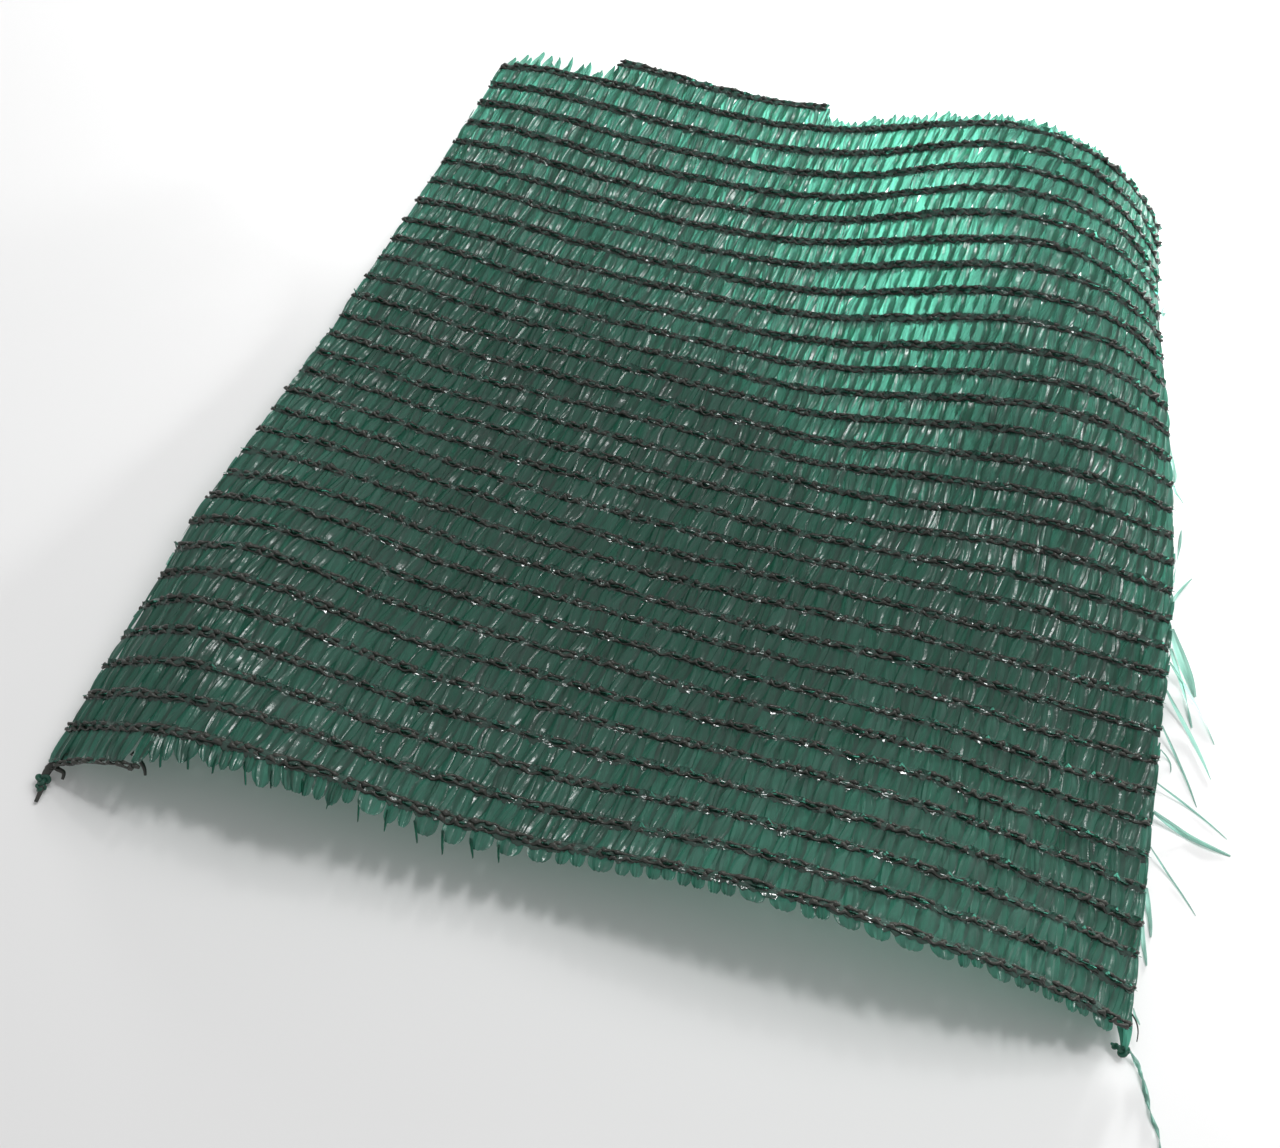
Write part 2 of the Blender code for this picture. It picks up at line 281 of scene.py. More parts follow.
def spline(knots, values, at):
    """Natural cubic spline: pieces of a cubic that share slope and bend, with no bend at the ends."""
    knots, values, at = (np.asarray(a, float) for a in (knots, values, at))
    count, step = len(knots), np.diff(knots)
    system, bend = np.eye(count), np.zeros_like(values)
    for i in range(1, count - 1):
        system[i, i - 1 : i + 2] = step[i - 1], 2 * (step[i - 1] + step[i]), step[i]
        slope_before = (values[i] - values[i - 1]) / step[i - 1]
        bend[i] = 6 * ((values[i + 1] - values[i]) / step[i] - slope_before)
    bend = np.linalg.solve(system, bend)
    i = np.clip(np.searchsorted(knots, at) - 1, 0, count - 2)
    column = (-1,) + (1,) * (values.ndim - 1)
    width, after = step[i].reshape(column), ((at - knots[i]) / step[i]).reshape(column)
    before = 1 - after
    curve = (before**3 - before) * bend[i] + (after**3 - after) * bend[i + 1]
    return before * values[i] + after * values[i + 1] + curve * width**2 / 6


def advance(step, rise):
    """Ground covered so far: each step's square less its rise squared, rooted and added up."""
    flat = np.sqrt(np.maximum(step**2 - rise**2, (LEAST_ADVANCE * step) ** 2))
    return np.concatenate([np.zeros_like(flat[:1]), np.cumsum(flat, axis=0)])


def drape():
    """Underside of the cloth, as rows by stitches by x, y, z."""
    stitches = np.linspace(0, FRAME_STITCHES, DRAPE_COLUMNS)
    rows = np.linspace(FIRST_ROW, LAST_ROW, DRAPE_ROWS)
    across = stitches / FRAME_STITCHES - STILL_STITCH
    along = (rows - FIRST_ROW) / (LAST_ROW - FIRST_ROW) - STILL_ROW
    heights = spline([row for row, _ in SECTIONS], [line for _, line in SECTIONS], rows)
    z = np.maximum(spline(ACROSS, heights.T, stitches).T, 0) * MM
    x = advance((stitches[1] - stitches[0]) * STITCH, np.diff(z.T, axis=0)).T
    y = advance((rows[1] - rows[0]) * ROW, np.diff(z, axis=0))
    still_column, still_row = np.argmin(abs(across)), np.argmin(abs(along))
    x = x - x[:, still_column : still_column + 1]
    y = y - y[still_row : still_row + 1]
    x = x + (WAIST * along**2 + LEAN * along)[:, None] * (LAST_ROW - FIRST_ROW) * ROW
    y = y + ROW_BOW * across**2 * FRAME_STITCHES * STITCH
    return np.stack([x + PLAN_SHIFT[0], y + PLAN_SHIFT[1], z], axis=-1)


def surface_normals(points):
    """Unit normals: the cross product of the steps along the stitches and along the rows."""
    normal = np.cross(np.gradient(points, axis=1), np.gradient(points, axis=0))
    return normal / np.linalg.norm(normal, axis=-1, keepdims=True)


def read_grid(grid, column, line):
    """Value between a grid's points: its four neighbours, each weighed by how near it is."""
    column = np.clip(column, 0, grid.shape[1] - LAST_CELL)
    line = np.clip(line, 0, grid.shape[0] - LAST_CELL)
    i, j = column.astype(int), line.astype(int)
    a, b = (column - i)[..., None], (line - j)[..., None]
    near = grid[j, i] * (1 - a) + grid[j, i + 1] * a
    far = grid[j + 1, i] * (1 - a) + grid[j + 1, i + 1] * a
    return near * (1 - b) + far * b


UNDERSIDE = drape()
NORMALS = surface_normals(UNDERSIDE)
print("cloth reaches", round(UNDERSIDE[..., 2].max() / MM, 1), "mm up")

# %% [markdown]
# ## Hand-made unevenness
# No stitch is exactly where the machine's pitch puts it. Two grids of random numbers shift every
# place a little along the stitches and along the rows: a fine one for single stitches and a coarse
# one for slow waves in the chains. Both act on the place before it goes to the surface, so tape and
# chain stray together and stay joined.

# %% Stray stitches
STRAY_SEED = 12
FINE_STRAY = np.array([0.06, 0.05])
COARSE_STRAY = np.array([0.12, 0.10])
COARSE_STITCHES, COARSE_ROWS = 4, 2
NEAR_SLIP, SLIP_ROWS = 0.35, 5
FINE_SHAPE, COARSE_SHAPE = (36, 43, 2), (20, 13, 2)
stray_chance = np.random.default_rng(STRAY_SEED)
FINE_GRID = stray_chance.uniform(-1, 1, FINE_SHAPE)
COARSE_GRID = stray_chance.uniform(-1, 1, COARSE_SHAPE)


def on_net(stitch, row, lift):
    """Point over the underside: strayed stitch and row, read from the drape, plus lift times normal.

    The last rows before the near edge have slipped towards it, by NEAR_SLIP times
    exp(-(row + 1) / SLIP_ROWS).
    """
    stitch, row, lift = np.broadcast_arrays(*(np.asarray(a, float) for a in (stitch, row, lift)))
    row = row - NEAR_SLIP * np.exp(-np.maximum(row + 1, 0) / SLIP_ROWS)
    fine = read_grid(FINE_GRID, stitch, row - FIRST_ROW)
    coarse = read_grid(COARSE_GRID, stitch / COARSE_STITCHES, (row - FIRST_ROW) / COARSE_ROWS)
    stray = fine * FINE_STRAY + coarse * COARSE_STRAY
    column = (stitch + stray[..., 0]) / FRAME_STITCHES * (DRAPE_COLUMNS - 1)
    line = (row + stray[..., 1] - FIRST_ROW) / (LAST_ROW - FIRST_ROW) * (DRAPE_ROWS - 1)
    return read_grid(UNDERSIDE, column, line) + read_grid(NORMALS, column, line) * lift[..., None]


print("stitches stray by up to", FINE_STRAY + COARSE_STRAY)

# %% [markdown]
# ## Where the scissors went
# The left and right edges are cut at a slant, so each row starts and ends at its own stitch. Six
# places along each edge and a spline through them give that stitch for any row. The near edge is cut
# just past the first whole chain, and the far edge past the last one, with a step in each.

# %% Cut edges
SIDE_CUTS = (  # row, stitch of the left edge, stitch of the right edge
    (-1.0, 0.6, 38.9),
    (6.0, 1.5, 39.0),
    (12.5, 2.2, 39.1),
    (18.5, 2.7, 38.9),
    (25.0, 3.6, 38.7),
    (31.0, 4.7, 38.6),
)
FULL_NEAR_ROW, FULL_FAR_ROW = 0, 30
NEAR_STEP = 5.0
FAR_STEPS = (10.0, 20.5)
LEFT, RIGHT = 1, 2


def side_cut(row, side):
    """Stitch at which the LEFT or RIGHT edge is cut, at these rows."""
    row = np.asarray(row, float)
    cut = spline([line[0] for line in SIDE_CUTS], [line[side] for line in SIDE_CUTS], row.ravel())
    return cut.reshape(row.shape)


def row_ends(chain):
    """First and last stitch of a chain, after the side cuts and the steps at the near and far edge."""
    first, last = float(side_cut(chain, LEFT)), float(side_cut(chain, RIGHT))
    if chain < FULL_NEAR_ROW:
        last = NEAR_STEP
    if chain > FULL_FAR_ROW:
        first, last = FAR_STEPS
    return first, last


CHAINS = range(FULL_NEAR_ROW - 1, FULL_FAR_ROW + 2)
print("stitches in all:", round(sum(row_ends(k)[1] - row_ends(k)[0] for k in CHAINS)))

# %% [markdown]
# ## Finishes
# The tape is thin stretched film: glossy, a little see-through, dark where it lies double and minty
# where light comes through it. Mixing a translucent shader in lets the low lamp shine through the far
# rows. Its colour changes from leg to leg by an attribute, from place to place by noise, and in long
# streaks by noise on the film's own UV map, and it is darker towards its rims. Fine lengthwise lines,
# where it was stretched, are a bump across the tape, and where the chains pinch it, at both ends of a
# leg, it crumples and lets less light through. Four films share this recipe: that of the net, the dark
# one folded under the chains, a lighter copy for the far tufts, with the backlight on them painted
# into its colour, and the paler one that was pulled loose. The chain filament is round, charcoal green
# and half glossy.

# %% Finishes of tape and filament
TAPE_DEEP = (0.028, 0.054, 0.045)
TAPE_BRIGHT = (0.038, 0.122, 0.092)
TAPE_GLOW = (0.10, 0.42, 0.30)
FOLD_DEEP = (0.018, 0.030, 0.025)
FOLD_BRIGHT = (0.028, 0.075, 0.057)
# The far tufts get a lighter copy of the tape: painted light, standing for the low lamp that shines
# through them from behind.
TUFT_PAINTED_LIGHT_DEEP = (0.03, 0.10, 0.075)
TUFT_PAINTED_LIGHT_BRIGHT = (0.09, 0.28, 0.21)
TUFT_PAINTED_LIGHT_GLOW = (0.20, 0.58, 0.44)
LOOSE_DEEP = (0.10, 0.19, 0.16)
LOOSE_BRIGHT = (0.25, 0.46, 0.39)
LOOSE_GLOW = (0.33, 0.60, 0.51)
FILAMENT_DARK = (0.014, 0.017, 0.014)
FILAMENT_LIGHT = (0.048, 0.050, 0.043)
CLOUD_SIZE, GRAIN_SIZE = 6 * MM, 0.35 * MM
STREAKS_ACROSS, STREAKS_ALONG, STREAK_SIZE = 3.0, 0.5, 0.8
SHADE_APART = 30
TONE_OF_SHADE, TONE_OF_CLOUD, TONE_OF_STREAK, TONE_OF_RIM, TONE_LESS = 0.6, 0.45, 1.2, 0.4, 0.02
STRETCH_LINES = 4
LINE_RELIEF, GRAIN_RELIEF, CRUMPLE_RELIEF = 0.25, 0.5, 2.5
RELIEF_STRENGTH, RELIEF_HEIGHT = 0.35, 0.08 * MM
ROUGH_TAPE, ROUGH_SPREAD = 0.08, 0.2
TAPE_IOR, FILAMENT_IOR = 1.62, 1.5
GLOW_OF_STREAK, PINCH_DARKENS = 1.6, 0.7
FILAMENT_CLOUD, ROUGH_FILAMENT = 1.1 * MM, 0.12
TWO_PI = 2 * np.pi


def tape_finish(name, deep, bright, glow, through, rough=ROUGH_TAPE):
    """Film of one colour range: through is the share of light that passes it."""
    finish = Finish(name)
    shade = finish.node("ShaderNodeAttribute", {"attribute_name": "shade"}, {}, "Fac")
    place = finish.node("ShaderNodeTexCoord", {}, {}, "Object")
    cloud = finish.noise(place, CLOUD_SIZE)
    grain = finish.noise(place, GRAIN_SIZE)
    uv = finish.node("ShaderNodeUVMap", {"uv_map": "tape"}, {})
    across = finish.node("ShaderNodeSeparateXYZ", {}, {"Vector": uv})
    along = finish.node("ShaderNodeSeparateXYZ", {}, {"Vector": uv}, "Y")
    edge, pinch = (across * 2 - 1) ** 2, (along * 2 - 1) ** 4
    band = {"X": across * STREAKS_ACROSS, "Y": along * STREAKS_ALONG, "Z": shade * SHADE_APART}
    streak = finish.noise(finish.node("ShaderNodeCombineXYZ", {}, band), STREAK_SIZE, 1) - 0.5
    tone = shade * TONE_OF_SHADE + cloud * TONE_OF_CLOUD + streak * TONE_OF_STREAK
    tone = tone - edge * edge * TONE_OF_RIM - TONE_LESS
    lines = (across * (STRETCH_LINES * TWO_PI)).math("SINE")
    height = lines * LINE_RELIEF + grain * GRAIN_RELIEF + grain * pinch * CRUMPLE_RELIEF
    relief = {"Height": height, "Strength": RELIEF_STRENGTH, "Distance": RELIEF_HEIGHT}
    sockets = {
        "Base Color": finish.mix(tone, deep, bright),
        "Roughness": grain * ROUGH_SPREAD + rough,
        "Normal": finish.node("ShaderNodeBump", {}, relief),
        "IOR": TAPE_IOR,
    }
    film = finish.node("ShaderNodeBsdfPrincipled", {}, sockets)
    light_through = finish.node("ShaderNodeBsdfTranslucent", {}, {"Color": (*glow, 1)})
    passed = (streak * GLOW_OF_STREAK + 1) * (1 - pinch * PINCH_DARKENS) * through
    return finish.show(finish.node("ShaderNodeMixShader", {}, {0: passed, 1: film, 2: light_through}))


def filament_finish():
    finish = Finish("chain_filament")
    place = finish.node("ShaderNodeTexCoord", {}, {}, "Object")
    cloud = finish.noise(place, FILAMENT_CLOUD)
    sockets = {
        "Base Color": finish.mix(cloud, FILAMENT_DARK, FILAMENT_LIGHT),
        "Roughness": cloud * ROUGH_SPREAD + ROUGH_FILAMENT,
        "IOR": FILAMENT_IOR,
    }
    return finish.show(finish.node("ShaderNodeBsdfPrincipled", {}, sockets))


net_tape = tape_finish("net_tape", TAPE_DEEP, TAPE_BRIGHT, TAPE_GLOW, through=0.46)
folded_tape = tape_finish("folded_tape", FOLD_DEEP, FOLD_BRIGHT, TAPE_GLOW, through=0.12, rough=0.0)
# Lighter film for the far tufts, with painted backlight in its colour.
tuft_tape_painted_light = tape_finish("tuft_tape_painted_light", TUFT_PAINTED_LIGHT_DEEP, TUFT_PAINTED_LIGHT_BRIGHT, TUFT_PAINTED_LIGHT_GLOW, through=0.5)
loose_tape = tape_finish("loose_tape", LOOSE_DEEP, LOOSE_BRIGHT, LOOSE_GLOW, through=0.5)
filament = filament_finish()
print("finishes:", net_tape.name, folded_tape.name, tuft_tape_painted_light.name, loose_tape.name, filament.name)

# %% [markdown]
# ## Ribbons and tubes
# Two shapes make the whole net. A ribbon is a grid: lines along it, columns across it. A tube is a
# ring of points carried along a path. Both are whole arrays for many copies at once, which keeps
# thousands of stitches quick, and each copy has only a few dozen faces.

# %% Mesh makers
NO_LENGTH = 1e-9


def link(name, mesh, material):
    """Makes a mesh a piece of the cloth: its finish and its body."""
    mesh.materials.append(material)
    piece = bpy.data.objects.new(name, mesh)
    bpy.context.scene.collection.objects.link(piece)
    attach(piece, "root")
    print(name, "faces:", len(mesh.polygons))
    return piece


def ribbon_piece(name, points, shade, keep, material, along=None, smooth=True):
    """Ribbons as one mesh, with a UV map from 0 to 1 across and along each of them.

    points is ribbon by line by column by xyz, and shade has one value for each point. keep says which
    cells between lines and columns are tape, and None keeps them all. along gives each line's place
    for the UV map where one ribbon holds many legs. A face whose cross product of diagonals points
    down is turned over, so that all of them face up. A ribbon that is kept whole may twist, so it is
    turned over whole, by its faces' sum. Film creases lengthwise, so the edges that join two lines in
    one column are sharp, and the shading is smooth only along the ribbon.
    """
    ribbons, lines, columns = points.shape[:3]
    index = np.arange(ribbons * lines * columns).reshape(ribbons, lines, columns)
    corners = (index[:, :-1, :-1], index[:, :-1, 1:], index[:, 1:, 1:], index[:, 1:, :-1])
    quads = np.stack(corners, axis=-1)
    quads = quads.reshape(-1, 4) if keep is None else quads[keep]
    flat = points.reshape(-1, 3)
    first, second, third, fourth = (flat[quads[:, corner]] for corner in range(4))
    upward = np.cross(third - first, fourth - second)[:, 2]
    if keep is None:
        cells = (lines - 1) * (columns - 1)
        upward = np.repeat(upward.reshape(ribbons, cells).sum(axis=1), cells)
    quads[upward < 0] = quads[upward < 0][:, ::-1]
    used, quads = np.unique(quads, return_inverse=True)
    quads = quads.reshape(-1, 4)
    mesh = bpy.data.meshes.new(name)
    mesh.from_pydata(flat[used].tolist(), [], quads.tolist())
    across = np.broadcast_to(np.linspace(0, 1, columns), (ribbons, lines, columns))
    along = np.linspace(0, 1, lines) if along is None else along
    along = np.broadcast_to(along[:, None], (ribbons, lines, columns))
    uv = np.stack([across, along], axis=-1).reshape(-1, 2)[used]
    mesh.uv_layers.new(name="tape").data.foreach_set("uv", uv[quads].ravel())
    values = np.broadcast_to(shade, (ribbons, lines, columns)).reshape(-1)[used]
    mesh.attributes.new("shade", "FLOAT", "POINT").data.foreach_set("value", values)
    mesh.polygons.foreach_set("use_smooth", np.full(len(quads), smooth))
    column = np.broadcast_to(np.arange(columns), (ribbons, lines, columns)).reshape(-1)[used]
    ends = np.empty(2 * len(mesh.edges), np.int32)
    mesh.edges.foreach_get("vertices", ends)
    creases = column[ends[::2]] == column[ends[1::2]]
    mesh.attributes.new("sharp_edge", "BOOLEAN", "EDGE").data.foreach_set("value", creases)
    return link(name, mesh, material)


def tube_points(path, radius, sides):
    """Rings along a path: at each point, radius times cosine and sine of two axes square to it."""
    along = np.gradient(path, axis=0)
    along /= np.linalg.norm(along, axis=1, keepdims=True)
    side = np.cross(along, (0, 0, 1))
    side /= np.maximum(np.linalg.norm(side, axis=1, keepdims=True), NO_LENGTH)
    up = np.cross(side, along)
    angle = np.linspace(0, TWO_PI, sides, endpoint=False)[None, :, None]
    radius = np.broadcast_to(radius, len(path))[:, None, None]
    return path[:, None] + radius * (np.cos(angle) * side[:, None] + np.sin(angle) * up[:, None])


def tube_piece(name, paths, radius, sides, material, shade=0.5):
    """Tubes along several paths as one mesh, with a flat face closing each end.

    For a tape finish, every point reads the middle of the film and one shade.
    """
    vertices, faces, start = [], [], 0
    for path, size in zip(paths, radius):
        rings = tube_points(path, size, sides)
        index = start + np.arange(len(path) * sides).reshape(len(path), sides)
        turned = np.roll(index, -1, axis=1)
        quads = np.stack([index[:-1], index[1:], turned[1:], turned[:-1]], axis=-1)
        faces += quads.reshape(-1, 4).tolist() + [index[0].tolist(), index[-1, ::-1].tolist()]
        vertices.append(rings.reshape(-1, 3))
        start += index.size
    mesh = bpy.data.meshes.new(name)
    mesh.from_pydata(np.concatenate(vertices).tolist(), [], faces)
    mesh.polygons.foreach_set("use_smooth", np.ones(len(faces), bool))
    mesh.uv_layers.new(name="tape").data.foreach_set("uv", np.full(2 * len(mesh.loops), 0.5))
    values = np.full(len(mesh.vertices), shade)
    mesh.attributes.new("shade", "FLOAT", "POINT").data.foreach_set("value", values)
    return link(name, mesh, material)


print("mesh makers ready")

# %% [markdown]
# ## The tape between the chains
# The tape runs up to the next chain, turns there, and comes back, two legs to a stitch. The legs that
# run up lean more than those that come back. Each leg is pinched at the chains and spreads between
# them like a leaf, with lengthwise pleats. So a leg's half width is a sine arch between two pinches.
# Its height is the root of that arch, steep beside the chains and level between them, with a zigzag
# of pleats on it, and neighbouring legs overlap like shingles. Every leg gets its own tilt, bulge and
# pleats, because that is what breaks the light into glints. Where the film turns at a chain, its fold
# stands up between the chain's knots.

# %% Tape of the net
TAPE_SEED = 5
LEG_LINES = np.array([0.03, 0.18, 0.38, 0.62, 0.82, 0.97])
TURN_PAST = 0.08
TAPE_COLUMNS = 7
HALF_WIDTH = 0.34
PINCH = 0.52
UP_SLANT, DOWN_SLANT = 0.28, 0.04
TAPE_LIFT = 0.40 * MM
BULGE = 0.16 * MM
PLEAT = 0.075 * MM
SHINGLE = 0.12 * MM
CROWN = 0.13 * MM
LOW_FOLD, HIGH_FOLD = 0.60 * MM, 0.95 * MM
TURN_TILT = 0.14 * MM
CENTRE_STRAY, LEAN_STRAY, COLUMN_STRAY = 0.05, 0.04, 0.12
WIDTHS, PLEATS, BULGES, SHINGLES = (0.9, 1.2), (0.1, 1.4), (0.3, 1.6), (-0.3, 1.3)
END_PLEAT, FOLD_PLEAT = 0.35, 0.6
GAP_LIFT = 0.04 * MM
LEG_PLACES = np.tile(np.append(LEG_LINES, 1.0), 2 * FRAME_STITCHES)

gaps = np.arange(FULL_NEAR_ROW - 1, FULL_FAR_ROW + 1)[:, None, None, None]
legs = np.arange(2 * FRAME_STITCHES)[None, :, None, None]
u = np.linspace(-1, 1, TAPE_COLUMNS)[None, None, None, :]
zigzag = np.where(np.arange(TAPE_COLUMNS) % 2 == 0, 1, -1)
tape_chance = np.random.default_rng(TAPE_SEED)


def by_leg(low, high, columns=1):
    """A random value for each gap and leg, and for each column where that is asked for."""
    return tape_chance.uniform(low, high, (gaps.size, legs.size, 1, columns))


def zigzag_tape():
    """Points of all legs and turns: gap by leg by line by column.

    v runs from 0 at one chain to 1 at the next, up in even legs and down in odd ones. The arch is
    sin(pi v). Half width is HALF_WIDTH (PINCH + (1 - PINCH) arch ** 0.6). Height is TAPE_LIFT +
    BULGE arch ** 0.5, less a crown by the square of u, with zigzag pleats and a tilt on it. The last
    line of a leg is the middle of its turn, just past the chain, where the folded film shows. The
    rows lie at two heights by turns, so that legs of neighbouring rows don't share a place.
    """
    upward = legs % 2 == 0
    v = np.append(LEG_LINES, 1 + TURN_PAST)[None, None, :, None]
    turn = v > 1
    v = np.where(upward, v, 1 - v)
    arch = np.where(turn, 0, np.sin(np.pi * np.clip(v, 0, 1)))
    slant = np.where(upward, UP_SLANT, DOWN_SLANT)
    centre = (legs + 0.5 + 0.5 * turn) / 2 + slant * (v - 0.5) * ~turn
    centre = centre + CENTRE_STRAY * by_leg(-1, 1) + LEAN_STRAY * by_leg(-1, 1) * arch
    half = HALF_WIDTH * by_leg(*WIDTHS) * (PINCH + (1 - PINCH) * arch**0.6)
    pleats = zigzag * by_leg(*PLEATS, TAPE_COLUMNS)
    height = TAPE_LIFT + BULGE * by_leg(*BULGES) * arch**0.5 - CROWN * u**2 * arch
    height = height + PLEAT * pleats * (END_PLEAT + (1 - END_PLEAT) * arch)
    height = height + SHINGLE * by_leg(*SHINGLES) * u * arch
    fold = by_leg(LOW_FOLD, HIGH_FOLD) + TURN_TILT * by_leg(-1, 1) * u + FOLD_PLEAT * PLEAT * pleats
    height = np.where(turn, fold, height) + GAP_LIFT * (gaps % 2)
    place = centre + half * (u + COLUMN_STRAY * by_leg(-1, 1, TAPE_COLUMNS))
    return place, gaps + v + 0 * centre, height


def inside_cut(stitch, row):
    """Says which points lie inside the side cuts, and draws the others in to the cut line."""
    left, right = side_cut(row, LEFT), side_cut(row, RIGHT)
    return (stitch > left) & (stitch < right), np.clip(stitch, left, right)


def net_tape_piece():
    """The zigzag laid on the net, without what lies past the side cuts and the steps."""
    stitch, row, height = zigzag_tape()
    row = np.broadcast_to(row, stitch.shape)
    inside, stitch = inside_cut(stitch, row)
    past_near = (gaps < FULL_NEAR_ROW) & (stitch > NEAR_STEP)
    past_far = (gaps >= FULL_FAR_ROW) & ((stitch < FAR_STEPS[0]) | (stitch > FAR_STEPS[1]))
    inside = inside & ~past_near & ~past_far
    points = on_net(stitch, row, height).reshape(gaps.size, -1, TAPE_COLUMNS, 3)
    inside = inside.reshape(points.shape[:3])
    near_corner = inside[:, :-1, :-1] | inside[:, :-1, 1:]
    far_corner = inside[:, 1:, 1:] | inside[:, 1:, :-1]
    shade = np.broadcast_to(by_leg(0, 1), stitch.shape).reshape(points.shape[:3])
    keep = near_corner & far_corner
    return ribbon_piece("tape_net", points, shade, keep, net_tape, LEG_PLACES)


tape_net = net_tape_piece()
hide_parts("knitted_net")

# %% [markdown]
# ## Folded tape under the chains
# Where the legs of two rows meet at a chain, film lies in several crumpled layers under the filament.
# They let no light through, so the chains read as dark bands against it, and their small facets lie
# at every angle, so that a few of them always catch a lamp. One strip of flat facets along each
# chain, with random heights and a ragged rim, stands for those layers.

# %% Folded tape under the chains
FACETS = 6
FOLD_COLUMNS = np.array([-0.19, -0.10, 0.0, 0.10, 0.19])
FOLD_LIFT, FOLD_CRUMPLE, RIM_DROP = 0.62 * MM, 0.050 * MM, 0.2 * MM
FACET_STRAY, RAGGED_RIM = 0.3, (0.6, 1.3)
CORNER_SHORT = 0.9


def folded_strips():
    """Points: chain by line by column, at stitch = line / FACETS and row = chain + column, all strayed.

    The height drops by RIM_DROP towards the rims, by the square of the column. The nearest strip
    ends CORNER_SHORT before its chain, where the film runs out into the corner's knot.
    """
    chain = np.array(CHAINS)[:, None, None]
    line = np.arange(1, FRAME_STITCHES * FACETS)[None, :, None]
    shape = (len(CHAINS), line.size, FOLD_COLUMNS.size)
    stitch = (line + FACET_STRAY * tape_chance.uniform(-1, 1, shape)) / FACETS
    row = chain + FOLD_COLUMNS * tape_chance.uniform(*RAGGED_RIM, shape)
    drop = RIM_DROP * (FOLD_COLUMNS / FOLD_COLUMNS[-1]) ** 2
    lift = FOLD_LIFT - drop + FOLD_CRUMPLE * tape_chance.uniform(-1, 1, shape)
    first, last = (np.array(ends)[:, None, None] for ends in zip(*(row_ends(k) for k in CHAINS)))
    last = last - CORNER_SHORT * (chain == FULL_NEAR_ROW)
    inside = (stitch > first) & (stitch < last) & (chain >= FULL_NEAR_ROW)
    keep = inside[:, :-1, :-1] & inside[:, 1:, 1:] & inside[:, :-1, 1:] & inside[:, 1:, :-1]
    return on_net(stitch, row, lift), keep


fold_points, fold_keep = folded_strips()
fold_shade = tape_chance.uniform(0, 1, fold_points.shape[:3])
folded_net = ribbon_piece(
    "folded_tape_strips", fold_points, fold_shade, fold_keep, folded_tape, smooth=False
)

# %% [markdown]
# ## The chains
# A chain is one filament pulled through itself stitch by stitch, like crochet. Seen from above, two
# strands run side by side, draw together in a tight knot twice a stitch, and part again round each
# fold of the tape. So each strand's distance from the chain's middle is a cosine that touches nothing
# at the knots, and there the strand is thicker and stands higher, because the filament is wound round
# itself. The two strands are two tubes, mirror images but for their unevenness.

# %% Chains
CHAIN_SEED = 21
STRAND_STEPS = 12
LEAST_PART, MOST_PART, CORD_PART = 0.035, 0.085, 0.03
STRAND_LIFT, KNOT_RISE = 0.46 * MM, 0.30 * MM
STRAND_RADIUS, KNOT_SWELL = 0.115 * MM, 0.15 * MM
KNOT_STRAY, SIDE_SHIFT = 0.09, 0.05
KNOT_SIZES, PARTINGS, THICKNESSES, LIFTS = (0.3, 1.4), (0.3, 1.3), (0.7, 1.2), (-0.5, 0.5)
CORD_SAG, CORD_DROP = 0.15, 0.3 * MM
CUT_SHORT = 0.12
STRAND_SIDES = 5
chain_chance = np.random.default_rng(CHAIN_SEED)
KNOT_GRID = chain_chance.uniform(-1, 1, (len(CHAINS) + 1, 2 * FRAME_STITCHES + 2, 1))


def uneven_line(t, low, high):
    """Random value for every half stitch, with straight lines between."""
    places = np.arange(0, FRAME_STITCHES + 2, 0.5)
    return np.interp(t, places, chain_chance.uniform(low, high, places.size))


def strand(chain, side):
    """One strand: r = chain + side (least + most |cos(2 pi t)| ** 0.8), t in stitches.

    Where the cosine is nothing the two strands meet in a knot, and height and radius swell there,
    by (1 - |cos|) ** 1.5. Both strands of a chain read the same stray of t, so that their knots
    stay together. The free chain at the near left corner has drawn together into a cord: its
    strands part much less, and it sags towards its ends by the square of the distance from its
    middle.
    """
    first, last = row_ends(chain)
    t = np.arange(first, last - chain_chance.uniform(0, CUT_SHORT), 1 / STRAND_STEPS)
    stray = read_grid(KNOT_GRID, 2 * t, np.full(t.shape, float(chain + 1)))[..., 0]
    apart = abs(np.cos(TWO_PI * (t + KNOT_STRAY * stray)))
    knot = (1 - apart) ** 1.5 * uneven_line(t, *KNOT_SIZES)
    cord = chain < FULL_NEAR_ROW
    sag = cord * (2 * (t - first) / (last - first) - 1) ** 2
    part = (CORD_PART if cord else MOST_PART) * apart**0.8 * uneven_line(t, *PARTINGS)
    row = chain + side * (LEAST_PART + part) - CORD_SAG * sag
    radius = STRAND_RADIUS * uneven_line(t, *THICKNESSES) + KNOT_SWELL * knot
    lift = STRAND_LIFT + KNOT_RISE * (knot + uneven_line(t, *LIFTS)) - CORD_DROP * sag
    return on_net(t + SIDE_SHIFT * side, row, lift), radius


def strand_piece(name, side):
    paths, radii = zip(*(strand(chain, side) for chain in CHAINS))
    return tube_piece(name, paths, radii, STRAND_SIDES, filament)


near_strands = strand_piece("chain_near_strands", -1)
far_strands = strand_piece("chain_far_strands", 1)

# %% [markdown]
# ## Free loops and tufts
# Where the scissors cut just past a chain, the tape beyond it hangs free. Along the near edge whole
# loops are left, rounded tongues one to a stitch, and towards the left they are torn. Along the far
# edge the legs are cut through and splay a little. Each is a ribbon that starts under its chain and
# carries on in the cloth's surface. Its width follows a profile from root to tip.

# %% Free legs along the near and far edges
FREE_SEED = 8
FREE_LINES = 9
ROUND_TIP = (0.72, 0.88, 0.97, 1.0, 1.0, 0.98, 0.93, 0.82, 0.58)
CUT_TIP = (0.7, 0.9, 1.0, 1.0, 0.97, 0.9, 0.8, 0.6, 0.3)
TORN_TIP = (0.8, 1.0, 1.0, 1.0, 1.0, 1.0, 0.95, 0.8, 0.5)
HAIR_TIP = (1.0, 1.0, 0.9, 0.9, 0.8, 0.8, 0.7, 0.5, 0.3)
FREE_PLEATS, FREE_SHADES = (0.2, 1.3), (0.2, 1)
FREE_BULGE, TIP_ROUND = 0.5 * BULGE, 0.10
TORN_STITCH, STEP_GAP = 11.5, 0.1
free_chance = np.random.default_rng(FREE_SEED)


